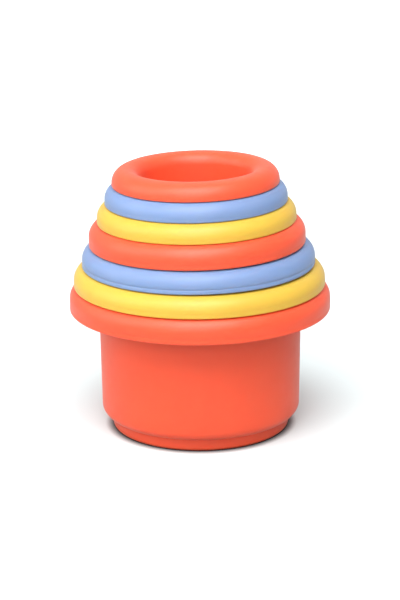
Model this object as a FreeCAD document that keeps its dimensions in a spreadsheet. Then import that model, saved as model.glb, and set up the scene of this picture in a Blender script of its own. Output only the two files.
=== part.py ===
"""Stacking cup tower: seven nested cups with turned-down rims, each resting on the next larger one.

Millimetres, +Z up. The origin is on the floor, under the centre of the largest cup. Each cup is a
thin moulded shell of one thickness: a rounded base with a narrower foot, a slightly tapered wall, and
a rim that runs outwards and turns down over a dome, so that it is hollow from below. The lip of each
rim seats on the dome of the rim below it, which centres the cup.
"""
import FreeCAD, Part
import Sketcher
import math
import os

from FreeCAD import Placement, Rotation, Vector

# One row per cup, from the top of the tower to the bottom: name, rim diameter, rim height,
# cup height, lean on the cup below in degrees, and sideways offset on the cup below.
CUPS = (
    ("cup_1_red", 63.8, 6.4, 37.0, 0.0, 0.0),
    ("cup_2_blue", 69.6, 7.2, 40.0, 0.0, 0.0),
    ("cup_3_yellow", 76.0, 7.3, 43.0, 0.0, 0.0),
    ("cup_4_red", 82.7, 8.8, 47.0, 0.4, -0.3),
    ("cup_5_blue", 89.1, 7.9, 50.0, 0.5, -0.25),
    ("cup_6_yellow", 96.3, 7.7, 53.0, 0.2, -0.15),
    ("cup_7_red", 100.0, 9.6, 56.5, 0.0, 0.0),
)
CUP_COLUMNS = ("rim_diameter", "rim_height", "cup_height", "lean_angle", "side_offset")

# Sizes that the cups share.
COMMON = {
    "wall": 1.6,  # thickness of wall, floor and rim
    "largest_body_radius": 38.9,  # outside of the largest cup, just under its rim
    "nest_clearance": 1.0,  # radial air between one cup and the next
    "wall_draft": 0.7,  # how much smaller in radius a body is at its shoulder than under its rim
    "shoulder_radius": 4.0,  # outside rounding between wall and shoulder
    "foot_height": 4.9,
    "foot_clearance": 0.6,  # radial air of a foot in the mouth of the next smaller cup
    "foot_edge_radius": 1.3,
    "foot_inside_radius": 1.2,
    "standing_ring_width": 4.0,
    "base_recess": 0.6,  # how far the middle of the base stands off the floor
    "dome_radius": 5.4,  # rounding from the rim's crown to its outside
    "mouth_radius": 4.6,  # rounding from the rim's crown into the cup
    "rim_root_radius": 3.0,  # rounding under the rim, where it leaves the wall
    "rest_gap": 0.12,  # air left between a rim's lip and the rim that it rests on
}

START, END, CENTRE = 1, 2, 3  # the numbers for the points of a line or an arc in a sketch
ORIGIN = (-1, START)  # a sketch's own origin, as geometry and point
X_AXIS, Y_AXIS = -1, -2  # the numbers for a sketch's own axes
BROKEN = {"Invalid", "Error"}


class Size:
    """A length with the spreadsheet expression that gives it, so that each formula is written once."""

    def __init__(self, value, text):
        self.value = value
        self.text = text

    def __add__(self, other):
        return Size(self.value + other.value, f"({self.text} + {other.text})")

    def __sub__(self, other):
        return Size(self.value - other.value, f"({self.text} - {other.text})")

    def __mul__(self, factor):
        return Size(self.value * factor, f"({self.text} * {factor})")


def make_sheet(doc):
    """Put the driving sizes in a spreadsheet, one aliased cell each."""
    sheet = doc.addObject("Spreadsheet::Sheet", "sizes")
    cells = dict(COMMON)
    for number, cup in enumerate(CUPS, start=1):
        for column, value in zip(CUP_COLUMNS, cup[1:]):
            cells[f"{column}_{number}"] = value
    for row, (alias, value) in enumerate(cells.items(), start=1):
        sheet.set(f"A{row}", alias)
        sheet.set(f"B{row}", str(value))
        sheet.setAlias(f"B{row}", alias)
    doc.recompute()
    return sheet


def read_size(sheet, alias):
    """One cell of the sheet as a Size."""
    return Size(float(getattr(sheet, alias)), f"{sheet.Name}.{alias}")


ZERO = Size(0.0, "0")


class CupSizes:
    """Every size of one cup, worked out from the sheet's cells."""

    def __init__(self, sheet, number):
        def cell(alias):
            return read_size(sheet, alias)

        steps_from_largest = len(CUPS) - number
        self.lean = cell(f"lean_angle_{number}").value
        self.offset = cell(f"side_offset_{number}").value

        self.wall = cell("wall")
        step = self.wall + cell("nest_clearance")
        self.body_radius = cell("largest_body_radius") - step * steps_from_largest
        self.low_radius = self.body_radius - cell("wall_draft")
        self.shoulder_radius = cell("shoulder_radius")
        self.foot_height = cell("foot_height")
        self.foot_radius = self.body_radius - step - self.wall - cell("foot_clearance")
        self.foot_edge = cell("foot_edge_radius")
        self.foot_inside = cell("foot_inside_radius")
        self.recess = cell("base_recess")
        self.recess_radius = self.foot_radius - self.foot_edge - cell("standing_ring_width")
        self.floor = self.recess + self.wall

        self.height = cell(f"cup_height_{number}")
        self.rim_height = cell(f"rim_height_{number}")
        self.rim_radius = cell(f"rim_diameter_{number}") * 0.5
        self.dome_radius = cell("dome_radius")
        self.dome_x = self.rim_radius - self.dome_radius
        self.dome_y = self.height - self.dome_radius
        self.lip_radius = self.wall * 0.5
        self.lip_x = self.rim_radius - self.lip_radius
        self.lip_y = self.height - self.rim_height + self.lip_radius
        self.mouth_radius = cell("mouth_radius")
        self.root_radius = cell("rim_root_radius")


class Profile:
    """The half section of a cup, drawn in order round its outline in a sketch."""

    def __init__(self, sketch):
        self.sketch = sketch

    def rule(self, kind, *parts):
        return self.sketch.addConstraint(Sketcher.Constraint(kind, *parts))

    def set_size(self, name, size, kind, *parts):
        """Add a dimension and bind it to its expression."""
        index = self.rule(kind, *parts, size.value)
        self.sketch.renameConstraint(index, name)
        self.sketch.setExpression(f"Constraints.{name}", size.text)

    def set_x(self, name, size, piece, point):
        self.set_size(f"{name}_x", size, "DistanceX", *ORIGIN, piece, point)

    def set_y(self, name, size, piece, point):
        self.set_size(f"{name}_y", size, "DistanceY", *ORIGIN, piece, point)

    def line(self, x1, y1, x2, y2):
        """A straight run between two points, where the outline's rules will hold it."""
        ends = Vector(x1.value, y1.value, 0), Vector(x2.value, y2.value, 0)
        return self.sketch.addGeometry(Part.LineSegment(*ends))

    def loose_arc(self, x, y, radius, first, last):
        """An arc drawn anticlockwise from one direction to another, in degrees."""
        circle = Part.Circle(Vector(x.value, y.value, 0), Vector(0, 0, 1), radius.value)
        span = math.radians(first), math.radians(last)
        return self.sketch.addGeometry(Part.ArcOfCircle(circle, *span))

    def arc(self, name, x, y, radius, first, last):
        """An arc whose centre and radius are bound to the sheet."""
        piece = self.loose_arc(x, y, radius, first, last)
        self.set_x(name, x, piece, CENTRE)
        self.set_y(name, y, piece, CENTRE)
        self.set_size(f"{name}_radius", radius, "Radius", piece)
        return piece

    def meet(self, one, one_point, other, other_point):
        self.rule("Coincident", one, one_point, other, other_point)

    def smooth(self, one, one_point, other, other_point):
        """Two ends meet without a corner."""
        self.rule("Tangent", one, one_point, other, other_point)


def draw_section(sketch, cup):
    """Draw the closed half section of a cup: x is the distance from its axis, y the height."""
    profile = Profile(sketch)
    line, arc = profile.line, profile.arc
    meet, smooth, rule = profile.meet, profile.smooth, profile.rule

    shoulder_x = cup.low_radius - cup.shoulder_radius
    shoulder_y = cup.foot_height + cup.shoulder_radius
    under_crown = cup.height - cup.wall
    root_x = cup.body_radius + cup.root_radius
    root_y = under_crown - cup.root_radius
    rim_inside = cup.rim_radius - cup.wall
    mouth_x = cup.body_radius - cup.wall + cup.mouth_radius
    mouth_y = cup.height - cup.mouth_radius
    inner_wall = cup.body_radius - cup.wall
    foot_x = cup.foot_radius - cup.foot_edge
    foot_wall = cup.foot_radius - cup.wall
    foot_inside_x = foot_wall - cup.foot_inside
    foot_inside_y = cup.floor + cup.foot_inside
    inner_shoulder = cup.foot_height + cup.wall

    # Outside, from the middle of the base to the rim.
    recess = line(ZERO, cup.recess, cup.recess_radius, cup.recess)
    recess_side = line(cup.recess_radius, cup.recess, cup.recess_radius, ZERO)
    ring = line(cup.recess_radius, ZERO, foot_x, ZERO)
    foot_edge = arc("foot_edge", foot_x, cup.foot_edge, cup.foot_edge, -90, 0)
    foot_side = line(cup.foot_radius, cup.foot_edge, cup.foot_radius, cup.foot_height)
    ledge = line(cup.foot_radius, cup.foot_height, shoulder_x, cup.foot_height)
    shoulder = arc("shoulder", shoulder_x, shoulder_y, cup.shoulder_radius, -90, 0)
    wall_outside = line(cup.low_radius, shoulder_y, cup.body_radius, root_y)
    root = arc("rim_root", root_x, root_y, cup.root_radius, 90, 180)

    # The rim: under the crown, down the inside of the skirt, round the lip, and back over the dome.
    crown_under = line(root_x, under_crown, cup.dome_x, under_crown)
    dome_inside = arc("dome_inside", cup.dome_x, cup.dome_y, cup.dome_radius - cup.wall, 0, 90)
    skirt_inside = line(rim_inside, cup.dome_y, rim_inside, cup.lip_y)
    lip = profile.loose_arc(cup.lip_x, cup.lip_y, cup.lip_radius, 180, 360)
    skirt_outside = line(cup.rim_radius, cup.lip_y, cup.rim_radius, cup.dome_y)
    dome_outside = arc("dome_outside", cup.dome_x, cup.dome_y, cup.dome_radius, 0, 90)
    crown = line(cup.dome_x, cup.height, mouth_x, cup.height)
    mouth = arc("mouth", mouth_x, mouth_y, cup.mouth_radius, 90, 180)

    # Inside, from the mouth down to the middle of the floor.
    wall_inside = line(inner_wall, mouth_y, cup.low_radius - cup.wall, shoulder_y)
    inner_radius = cup.shoulder_radius - cup.wall
    corner_inside = arc("corner_inside", shoulder_x, shoulder_y, inner_radius, -90, 0)
    ledge_inside = line(shoulder_x, inner_shoulder, foot_wall, inner_shoulder)
    foot_inside = line(foot_wall, inner_shoulder, foot_wall, foot_inside_y)
    floor_edge = arc("floor_edge", foot_inside_x, foot_inside_y, cup.foot_inside, -90, 0)
    floor = line(foot_inside_x, cup.floor, ZERO, cup.floor)
    axis = line(ZERO, cup.floor, ZERO, cup.recess)

    rule("PointOnObject", recess, START, Y_AXIS)
    rule("Horizontal", recess)
    profile.set_y("recess", cup.recess, recess, START)
    profile.set_x("recess", cup.recess_radius, recess, END)
    meet(recess, END, recess_side, START)
    rule("Vertical", recess_side)
    rule("PointOnObject", recess_side, END, X_AXIS)
    meet(recess_side, END, ring, START)
    smooth(ring, END, foot_edge, START)
    smooth(foot_edge, END, foot_side, START)
    rule("Vertical", foot_side)
    profile.set_y("foot", cup.foot_height, foot_side, END)
    meet(foot_side, END, ledge, START)
    smooth(ledge, END, shoulder, START)
    smooth(shoulder, END, wall_outside, START)
    smooth(wall_outside, END, root, END)
    smooth(root, START, crown_under, START)
    smooth(crown_under, END, dome_inside, END)
    smooth(dome_inside, START, skirt_inside, START)
    rule("Vertical", skirt_inside)
    smooth(skirt_inside, END, lip, START)
    profile.set_y("lip", cup.lip_y, lip, CENTRE)
    smooth(lip, END, skirt_outside, START)
    rule("Vertical", skirt_outside)
    smooth(skirt_outside, END, dome_outside, START)
    smooth(dome_outside, END, crown, START)
    smooth(crown, END, mouth, START)
    smooth(mouth, END, wall_inside, START)
    smooth(wall_inside, END, corner_inside, END)
    smooth(corner_inside, START, ledge_inside, START)
    rule("Horizontal", ledge_inside)
    meet(ledge_inside, END, foot_inside, START)
    rule("Vertical", foot_inside)
    smooth(foot_inside, END, floor_edge, END)
    smooth(floor_edge, START, floor, START)
    rule("Horizontal", floor)
    rule("PointOnObject", floor, END, Y_AXIS)
    meet(floor, END, axis, START)
    meet(axis, END, recess, START)


def make_cup(doc, name, cup):
    """Turn a cup's half section round its axis, as one body."""
    body = doc.addObject("PartDesign::Body", name)
    body.Label = name
    upright = next(p for p in body.Origin.OriginFeatures if p.Role == "XZ_Plane")
    sketch = body.newObject("Sketcher::SketchObject", f"{name}_section")
    sketch.AttachmentSupport = [(upright, "")]
    sketch.MapMode = "FlatFace"
    draw_section(sketch, cup)
    doc.recompute()
    if not sketch.FullyConstrained:
        raise RuntimeError(f"{sketch.Name} is not fully constrained")
    turned = body.newObject("PartDesign::Revolution", f"{name}_shell")
    turned.Profile = sketch
    turned.ReferenceAxis = (sketch, ["V_Axis"])
    turned.Angle = 360
    body.Tip = turned
    return body


def seat_height(cup, below, rest_gap):
    """How far the round of a cup's lip sits above the centre of the dome below it."""
    across = cup.lip_x.value - below.dome_x.value - abs(cup.offset)
    apart = cup.lip_radius.value + below.dome_radius.value + rest_gap
    return math.sqrt(apart**2 - across**2)


def stack_placements(cups, rest_gap):
    """Where each cup stands, from the largest up: the lip of its rim seats on the dome below it."""
    places = [Placement()]
    for cup, below in zip(reversed(cups[:-1]), reversed(cups[1:])):
        tilt = Rotation(Vector(0, -1, 0), cup.lean)
        lift = cup.lip_x.value * math.sin(math.radians(cup.lean))
        lip_level = below.dome_y.value + seat_height(cup, below, rest_gap) + lift
        base = Vector(cup.offset, 0, lip_level) - tilt.multVec(Vector(0, 0, cup.lip_y.value))
        places.append(places[-1].multiply(Placement(base, tilt)))
    return places[::-1]


def check(doc, bodies):
    """Stop if anything failed to build, or if two neighbouring cups overlap."""
    for item in doc.Objects:
        if BROKEN & set(item.State):
            raise RuntimeError(f"{item.Name} is {item.State}")
    for body in bodies:
        shape = body.Shape
        if shape.isNull() or not shape.isValid() or len(shape.Solids) != 1:
            raise RuntimeError(f"{body.Label} has no sound solid")
        box = shape.BoundBox
        print(f"{body.Label}: {shape.Volume / 1000:.2f} cm3, z {box.ZMin:.2f} to {box.ZMax:.2f}")
    for upper, lower in zip(bodies, bodies[1:]):
        overlap = upper.Shape.common(lower.Shape).Volume
        air = upper.Shape.distToShape(lower.Shape)[0]
        print(f"{upper.Label} in {lower.Label}: overlap {overlap:.4f} mm3, least air {air:.3f} mm")
        if overlap > 0:
            raise RuntimeError(f"{upper.Label} cuts into {lower.Label}")


def build():
    doc = FreeCAD.newDocument("stacking_cup_tower")
    sheet = make_sheet(doc)
    cups = [CupSizes(sheet, number) for number in range(1, len(CUPS) + 1)]
    bodies = [make_cup(doc, row[0], cup) for row, cup in zip(CUPS, cups)]
    rest_gap = read_size(sheet, "rest_gap").value
    for body, place in zip(bodies, stack_placements(cups, rest_gap)):
        body.Placement = place
    doc.recompute()
    check(doc, bodies)
    os.makedirs("parts", exist_ok=True)
    for body in bodies:
        body.Shape.exportStep(f"parts/{body.Label}.step")
    return doc, cups, bodies


doc, cups, bodies = build()
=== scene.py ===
"""Stacking cup tower: the looks of seven nested moulded cups, in metres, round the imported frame."""

import math
from collections import namedtuple

import bpy
from mathutils import Matrix, Vector


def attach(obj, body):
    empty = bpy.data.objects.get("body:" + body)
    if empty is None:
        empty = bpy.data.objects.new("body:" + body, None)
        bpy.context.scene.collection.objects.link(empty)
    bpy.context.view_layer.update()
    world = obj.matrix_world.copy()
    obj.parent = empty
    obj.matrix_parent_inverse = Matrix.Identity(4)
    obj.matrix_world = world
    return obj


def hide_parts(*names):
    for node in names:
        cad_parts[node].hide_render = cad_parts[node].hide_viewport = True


MM = 0.001

# The cups from the top of the tower. Lengths are in millimetres, the lean on the cup below is in
# degrees, and the offset is sideways on the cup below.
Cup = namedtuple("Cup", "node body colour rim_diameter rim_height height lean offset")
CUPS = (
    Cup("cup_1_red", "cup_1", "red", 63.8, 6.4, 37.0, 0.0, 0.0),
    Cup("cup_2_blue", "cup_2", "blue", 69.6, 7.2, 40.0, 0.0, 0.0),
    Cup("cup_3_yellow", "cup_3", "yellow", 76.0, 7.3, 43.0, 0.0, 0.0),
    Cup("cup_4_red", "cup_4", "red", 82.7, 8.8, 47.0, 0.4, -0.3),
    Cup("cup_5_blue", "cup_5", "blue", 89.1, 7.9, 50.0, 0.5, -0.25),
    Cup("cup_6_yellow", "cup_6", "yellow", 96.3, 7.7, 53.0, 0.2, -0.15),
    Cup("cup_7_red", "cup_7", "red", 100.0, 9.6, 56.5, 0.0, 0.0),
)

# Sizes that the cups share, in millimetres, as in the design.
WALL = 1.6
LARGEST_BODY_RADIUS = 38.9
NEST_CLEARANCE = 1.0
WALL_DRAFT = 0.7
SHOULDER_RADIUS = 4.0
FOOT_HEIGHT = 4.9
FOOT_CLEARANCE = 0.6
FOOT_EDGE_RADIUS = 1.3
FOOT_INSIDE_RADIUS = 1.2
STANDING_RING_WIDTH = 4.0
BASE_RECESS = 0.6
DOME_RADIUS = 5.4
MOUTH_RADIUS = 4.6
RIM_ROOT_RADIUS = 3.0
REST_GAP = 0.12

# Finer shapes that only the looks have, in millimetres.
SOFT_EDGE = 0.3  # the rounding of edges that are drawn sharp in the design
LEDGE_EDGE = 0.12
LIP_EDGE = 0.4  # the outer rounding of a rim's lip, crisper than the half round of the design
PARTING_LINE_WIDTH = 0.3  # the fine groove round each rim where the mould's halves met
PARTING_LINE_RISE = 1.7  # above the lip, unless the dome starts lower
PARTING_LINE_DEPTH = 0.03
DEEP_PARTING_LINES = {"cup_5_blue": 0.12}  # depth where it shows more
SEGMENTS = 192  # round each cup
ARC_STEP = 9.0  # degrees between the points of a rounding
RUN_STEP = 3.0  # the longest straight run between points
SAME_POINT = 0.001  # points of an outline this close are one point

# Base colour and noise seed of each plastic.
PLASTICS = {
    "red": ((0.74, 0.082, 0.029), 3.0),
    "blue": ((0.166, 0.250, 0.44), 11.0),
    "yellow": ((0.60, 0.385, 0.045), 23.0),
}

# What the plastics share: sockets of their shader.
PLASTIC_SOCKETS = {
    "IOR": 1.44,
    "Subsurface Weight": 0.6,
    "Subsurface Radius": (1.0, 0.5, 0.35),
    "Subsurface Scale": 0.0025,
    "Sheen Weight": 0.12,
    "Sheen Roughness": 0.35,
}
MOTTLE = (0.965, 1.03)  # how far the base colour wanders
GLOSS = (0.40, 0.48)  # how far the roughness wanders
GRAIN_HEIGHT = 0.00003  # metres
GRAIN_STRENGTH = 0.25

FLOOR_SIZE = 8.0  # metres
FLOOR_SEEN = (0.67, 0.735, 0.74, 1)  # the floor's colour to the camera, exposed to white where lit
FLOOR_BOUNCE = (0.45, 0.45, 0.45, 1)  # the floor's colour in the light that it throws back
PAINTED_CONTACT_SHADE_REACH = 0.0035  # metres, of the painted shade line on the floor at the foot
PAINTED_CONTACT_SHADE_POWER = 2.0
# Painted light: a camera-only emission on the floor, rising with distance from the tower's axis,
# whitens it beyond the shadow.
PAINTED_GLOW_START = 0.12  # metres from the tower's axis
PAINTED_GLOW_FULL = 0.6
PAINTED_GLOW_STRENGTH = 0.8

# Softboxes: name, azimuth, elevation, distance in metres, width and height in metres, watts.
LIGHTS = (
    ("front_softbox", 0, 60, 1.1, 0.9, 0.7, 15.8),
    ("left_softbox", -85, 25, 1.2, 0.9, 0.9, 5.7),
    ("left_front_softbox", -50, 35, 1.2, 0.8, 0.8, 3.3),
    ("back_softbox", 180, 55, 1.2, 0.9, 0.7, 1.5),
    ("front_fill", -5, 25, 1.3, 0.8, 0.5, 5.8),
)
WORLD_LIGHT = 0.56
WORLD_SEEN = 1.0  # to the camera, so that the floor has no horizon
LIGHT_TARGET = Vector((0, 0, 0.05))

CAMERA_PLACE = (0.0, -0.7782, 0.2824)  # metres
CAMERA_LENS = 126.7  # millimetres
CAMERA_SENSOR = 36.0  # millimetres
CAMERA_PITCH = 16.68  # degrees below level
CAMERA_ROLL = -0.5  # degrees


def cup_outline(number, cup):
    """The closed half section of a cup: corners as distance from the axis, height and rounding."""
    body = LARGEST_BODY_RADIUS - (WALL + NEST_CLEARANCE) * (len(CUPS) - number)
    low = body - WALL_DRAFT
    foot = body - NEST_CLEARANCE - 2 * WALL - FOOT_CLEARANCE
    recess = foot - FOOT_EDGE_RADIUS - STANDING_RING_WIDTH
    floor = BASE_RECESS + WALL
    rim = cup.rim_diameter / 2
    wall_top = cup.height - WALL
    under = cup.height - cup.rim_height
    line_y = min(under + PARTING_LINE_RISE, cup.height - DOME_RADIUS - PARTING_LINE_WIDTH)
    line_depth = DEEP_PARTING_LINES.get(cup.node, PARTING_LINE_DEPTH)
    return [
        (0.0, BASE_RECESS, 0.0),
        (recess, BASE_RECESS, SOFT_EDGE),
        (recess, 0.0, SOFT_EDGE),
        (foot, 0.0, FOOT_EDGE_RADIUS),
        (foot, FOOT_HEIGHT, LEDGE_EDGE),
        (low, FOOT_HEIGHT, SHOULDER_RADIUS),
        (body, wall_top, RIM_ROOT_RADIUS),
        (rim - WALL, wall_top, DOME_RADIUS - WALL),
        (rim - WALL, under, WALL / 2),
        (rim, under, LIP_EDGE),
        (rim, line_y - PARTING_LINE_WIDTH / 2, 0.0),
        (rim - line_depth, line_y, 0.0),
        (rim, line_y + PARTING_LINE_WIDTH / 2, 0.0),
        (rim, cup.height, DOME_RADIUS),
        (body - WALL, cup.height, MOUTH_RADIUS),
        (low - WALL, FOOT_HEIGHT + WALL, SHOULDER_RADIUS - WALL),
        (foot - WALL, FOOT_HEIGHT + WALL, SOFT_EDGE),
        (foot - WALL, floor, FOOT_INSIDE_RADIUS),
        (0.0, floor, 0.0),
    ]


def corner_arc(corner, before, after, radius):
    """Points along the rounding of a corner, given the directions to its neighbours."""
    half = before.angle(after) / 2
    centre = corner + (before + after).normalized() * (radius / math.sin(half))
    start = corner + before * (radius / math.tan(half)) - centre
    turn = math.pi - 2 * half
    side = 1 if before.x * after.y - before.y * after.x < 0 else -1
    count = max(3, math.ceil(math.degrees(turn) / ARC_STEP))
    arc = []
    for step in range(count + 1):
        angle = side * turn * step / count
        c, s = math.cos(angle), math.sin(angle)
        arc.append(centre + Vector((start.x * c - start.y * s, start.x * s + start.y * c)))
    return arc


def rounded(outline):
    """Points along an outline with its corners rounded and its straight runs divided."""
    corners = [(Vector((x, y)), radius) for x, y, radius in outline]
    points = []
    for index, (corner, radius) in enumerate(corners):
        if radius > 0:
            before = (corners[index - 1][0] - corner).normalized()
            after = (corners[index + 1][0] - corner).normalized()
            arc = corner_arc(corner, before, after, radius)
        else:
            arc = [corner]
        if points:
            last = points[-1]
            gap = (arc[0] - last).length
            pieces = math.ceil(gap / RUN_STEP)
            points += [last.lerp(arc[0], piece / pieces) for piece in range(1, pieces)]
            if gap < SAME_POINT:
                arc = arc[1:]
        points += arc
    return points


def lathe(name, points):
    """A closed mesh turned from a half section that starts and ends on the axis."""
    rings = points[1:-1]
    turns = [2 * math.pi * segment / SEGMENTS for segment in range(SEGMENTS)]
    vertices = []
    for point in rings:
        for turn in turns:
            vertices.append(Vector((point.x * math.cos(turn), point.x * math.sin(turn), point.y)) * MM)
    faces = []
    for ring in range(len(rings) - 1):
        for segment in range(SEGMENTS):
            a = ring * SEGMENTS + segment
            b = ring * SEGMENTS + (segment + 1) % SEGMENTS
            faces.append((a, b, b + SEGMENTS, a + SEGMENTS))
    last = (len(rings) - 1) * SEGMENTS
    faces.append(tuple(reversed(range(SEGMENTS))))
    faces.append(tuple(range(last, last + SEGMENTS)))
    mesh = bpy.data.meshes.new(name)
    mesh.from_pydata(vertices, [], faces)
    mesh.shade_smooth()
    obj = bpy.data.objects.new(name, mesh)
    bpy.context.scene.collection.objects.link(obj)
    return obj


def cup_places():
    """The matrix of each cup, from the top: the lip of each rim seats on the dome below it."""
    places = [Matrix.Identity(4)]
    for cup, below in zip(reversed(CUPS[:-1]), reversed(CUPS[1:])):
        angle = math.radians(cup.lean)
        lip_x = cup.rim_diameter / 2 - WALL / 2
        lip_y = cup.height - cup.rim_height + WALL / 2
        across = lip_x - (below.rim_diameter / 2 - DOME_RADIUS) - abs(cup.offset)
        seat = math.sqrt((WALL / 2 + DOME_RADIUS + REST_GAP) ** 2 - across**2)
        lip_level = below.height - DOME_RADIUS + seat + lip_x * math.sin(angle)
        seated = Matrix.Translation(Vector((cup.offset, 0, lip_level)) * MM)
        drop = Matrix.Translation(Vector((0, 0, -lip_y)) * MM)
        places.append(places[-1] @ seated @ Matrix.Rotation(-angle, 4, "Y") @ drop)
    return places[::-1]


def make_plastic(colour_name):
    """Matt moulded plastic: faint mottling, uneven gloss, fine grain and soft scattering."""
    colour, seed = PLASTICS[colour_name]
    material = bpy.data.materials.new(f"{colour_name}_plastic")
    material.use_nodes = True
    nodes, links = material.node_tree.nodes, material.node_tree.links
    shader = nodes["Principled BSDF"]
    for socket, value in PLASTIC_SOCKETS.items():
        shader.inputs[socket].default_value = value
    place = nodes.new("ShaderNodeTexCoord").outputs["Object"]

    def noise(scale, detail):
        node = nodes.new("ShaderNodeTexNoise")
        node.noise_dimensions = "4D"
        node.inputs["W"].default_value = seed
        node.inputs["Scale"].default_value = scale
        node.inputs["Detail"].default_value = detail
        links.new(place, node.inputs["Vector"])
        return node.outputs["Fac"]

    def spread(value, low, high):
        node = nodes.new("ShaderNodeMapRange")
        node.inputs["From Min"].default_value = 0.25
        node.inputs["From Max"].default_value = 0.75
        node.inputs["To Min"].default_value = low
        node.inputs["To Max"].default_value = high
        links.new(value, node.inputs["Value"])
        return node.outputs["Result"]

    mottle = nodes.new("ShaderNodeMix")
    mottle.data_type = "RGBA"
    mottle.inputs["A"].default_value = (*(MOTTLE[0] * c for c in colour), 1)
    mottle.inputs["B"].default_value = (*(MOTTLE[1] * c for c in colour), 1)
    links.new(spread(noise(45, 3), 0, 1), mottle.inputs["Factor"])
    links.new(mottle.outputs["Result"], shader.inputs["Base Color"])
    links.new(spread(noise(300, 4), *GLOSS), shader.inputs["Roughness"])

    bump = nodes.new("ShaderNodeBump")
    bump.inputs["Strength"].default_value = GRAIN_STRENGTH
    bump.inputs["Distance"].default_value = GRAIN_HEIGHT
    links.new(noise(1800, 3), bump.inputs["Height"])
    links.new(bump.outputs["Normal"], shader.inputs["Normal"])
    return material


def floor_material():
    """A white table top, whitened beyond the tower's shadow by painted light, with painted shade
    darkening a line round the foot.
    """
    material = bpy.data.materials.new("floor_white")
    material.use_nodes = True
    nodes, links = material.node_tree.nodes, material.node_tree.links
    nodes.remove(nodes["Principled BSDF"])
    surface = nodes.new("ShaderNodeBsdfDiffuse")
    painted_glow = nodes.new("ShaderNodeEmission")
    both = nodes.new("ShaderNodeAddShader")
    links.new(surface.outputs["BSDF"], both.inputs[0])
    links.new(painted_glow.outputs["Emission"], both.inputs[1])
    links.new(both.outputs["Shader"], nodes["Material Output"].inputs["Surface"])

    seen = nodes.new("ShaderNodeLightPath").outputs["Is Camera Ray"]
    exposure = nodes.new("ShaderNodeMix")
    exposure.data_type = "RGBA"
    exposure.inputs["A"].default_value = FLOOR_BOUNCE
    exposure.inputs["B"].default_value = FLOOR_SEEN
    links.new(seen, exposure.inputs["Factor"])

    # Painted shade: ambient occlusion darkens the floor's colour in a line where it meets the foot.
    painted_contact_shade = nodes.new("ShaderNodeAmbientOcclusion")
    painted_contact_shade.samples = 16
    painted_contact_shade.inputs["Distance"].default_value = PAINTED_CONTACT_SHADE_REACH
    deepen = nodes.new("ShaderNodeMath")
    deepen.operation = "POWER"
    deepen.inputs[1].default_value = PAINTED_CONTACT_SHADE_POWER
    links.new(painted_contact_shade.outputs["AO"], deepen.inputs[0])
    darken = nodes.new("ShaderNodeMix")
    darken.data_type = "RGBA"
    darken.blend_type = "MULTIPLY"
    darken.inputs["Factor"].default_value = 1.0
    links.new(exposure.outputs["Result"], darken.inputs["A"])
    links.new(deepen.outputs["Value"], darken.inputs["B"])
    links.new(darken.outputs["Result"], surface.inputs["Color"])

    # Painted light: the floor's glow rises from nothing at the edge of the shadow, and only the camera
    # sees it.
    distance = nodes.new("ShaderNodeVectorMath")
    distance.operation = "LENGTH"
    links.new(nodes.new("ShaderNodeTexCoord").outputs["Object"], distance.inputs[0])
    rise = nodes.new("ShaderNodeMapRange")
    rise.interpolation_type = "SMOOTHSTEP"
    rise.inputs["From Min"].default_value = PAINTED_GLOW_START
    rise.inputs["From Max"].default_value = PAINTED_GLOW_FULL
    rise.inputs["To Max"].default_value = PAINTED_GLOW_STRENGTH
    links.new(distance.outputs["Value"], rise.inputs["Value"])
    strength = nodes.new("ShaderNodeMath")
    strength.operation = "MULTIPLY"
    links.new(rise.outputs["Result"], strength.inputs[0])
    links.new(seen, strength.inputs[1])
    links.new(strength.outputs["Value"], painted_glow.inputs["Strength"])
    return material


def make_stage():
    """The table top that the tower stands on."""
    bpy.ops.mesh.primitive_plane_add(size=FLOOR_SIZE)
    floor = bpy.context.object
    floor.name = "floor"
    floor.data.materials.append(floor_material())


def add_softbox(name, azimuth, elevation, distance, width, height, power):
    """A rectangular light aimed at the tower; azimuth 0 is the camera's side, and -90 its left."""
    a, e = math.radians(azimuth), math.radians(elevation)
    way = Vector((math.sin(a) * math.cos(e), -math.cos(a) * math.cos(e), math.sin(e)))
    data = bpy.data.lights.new(name, "AREA")
    data.shape = "RECTANGLE"
    data.size = width
    data.size_y = height
    data.energy = power
    light = bpy.data.objects.new(name, data)
    light.location = LIGHT_TARGET + way * distance
    light.rotation_euler = (-way).to_track_quat("-Z", "Y").to_euler()
    bpy.context.scene.collection.objects.link(light)


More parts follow.
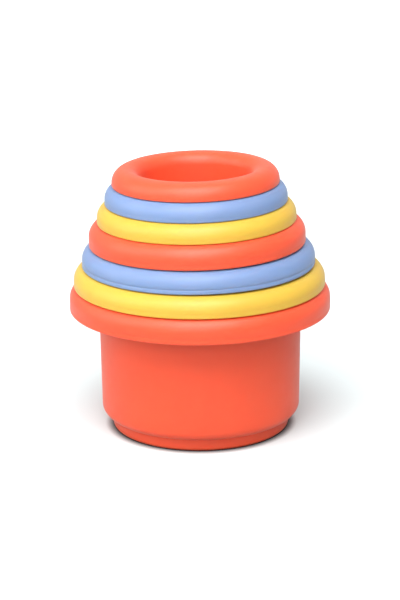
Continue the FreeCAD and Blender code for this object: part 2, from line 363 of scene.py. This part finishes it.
def make_lights():
    """A white surround, brighter to the camera than to the tower, and the softboxes."""
    world = bpy.data.worlds.new("studio")
    bpy.context.scene.world = world
    world.use_nodes = True
    nodes, links = world.node_tree.nodes, world.node_tree.links
    background = nodes["Background"]
    background.inputs["Color"].default_value = (1, 1, 1, 1)
    strength = nodes.new("ShaderNodeMapRange")
    strength.inputs["To Min"].default_value = WORLD_LIGHT
    strength.inputs["To Max"].default_value = WORLD_SEEN
    links.new(nodes.new("ShaderNodeLightPath").outputs["Is Camera Ray"], strength.inputs["Value"])
    links.new(strength.outputs["Result"], background.inputs["Strength"])
    for softbox in LIGHTS:
        add_softbox(*softbox)


def make_camera():
    """The viewpoint: in front of the tower, looking down on it a little, with a slight roll."""
    data = bpy.data.cameras.new("camera")
    data.sensor_width = CAMERA_SENSOR
    data.lens = CAMERA_LENS
    camera = bpy.data.objects.new("camera", data)
    tip = Matrix.Rotation(math.radians(90 - CAMERA_PITCH), 4, "X")
    roll = Matrix.Rotation(math.radians(CAMERA_ROLL), 4, "Z")
    camera.matrix_world = Matrix.Translation(CAMERA_PLACE) @ tip @ roll
    bpy.context.scene.collection.objects.link(camera)
    bpy.context.scene.camera = camera


def make_cups():
    """One turned mesh per cup, in place of its solid from the design."""
    plastics = {name: make_plastic(name) for name in PLASTICS}
    for number, (cup, place) in enumerate(zip(CUPS, cup_places()), start=1):
        moulding = lathe(f"{cup.node}_moulding", rounded(cup_outline(number, cup)))
        moulding.data.materials.append(plastics[cup.colour])
        moulding.matrix_world = place
        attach(moulding, cup.body)
        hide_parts(cup.node)


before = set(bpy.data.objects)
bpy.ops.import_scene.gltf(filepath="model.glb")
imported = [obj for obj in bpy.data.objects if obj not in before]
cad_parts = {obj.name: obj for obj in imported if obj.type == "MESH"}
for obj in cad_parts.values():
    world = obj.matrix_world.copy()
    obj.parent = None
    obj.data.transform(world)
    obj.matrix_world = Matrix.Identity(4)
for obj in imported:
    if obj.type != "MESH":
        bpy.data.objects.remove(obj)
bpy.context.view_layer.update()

bpy.context.scene.view_settings.view_transform = "Standard"
make_camera()
make_lights()
make_stage()
make_cups()
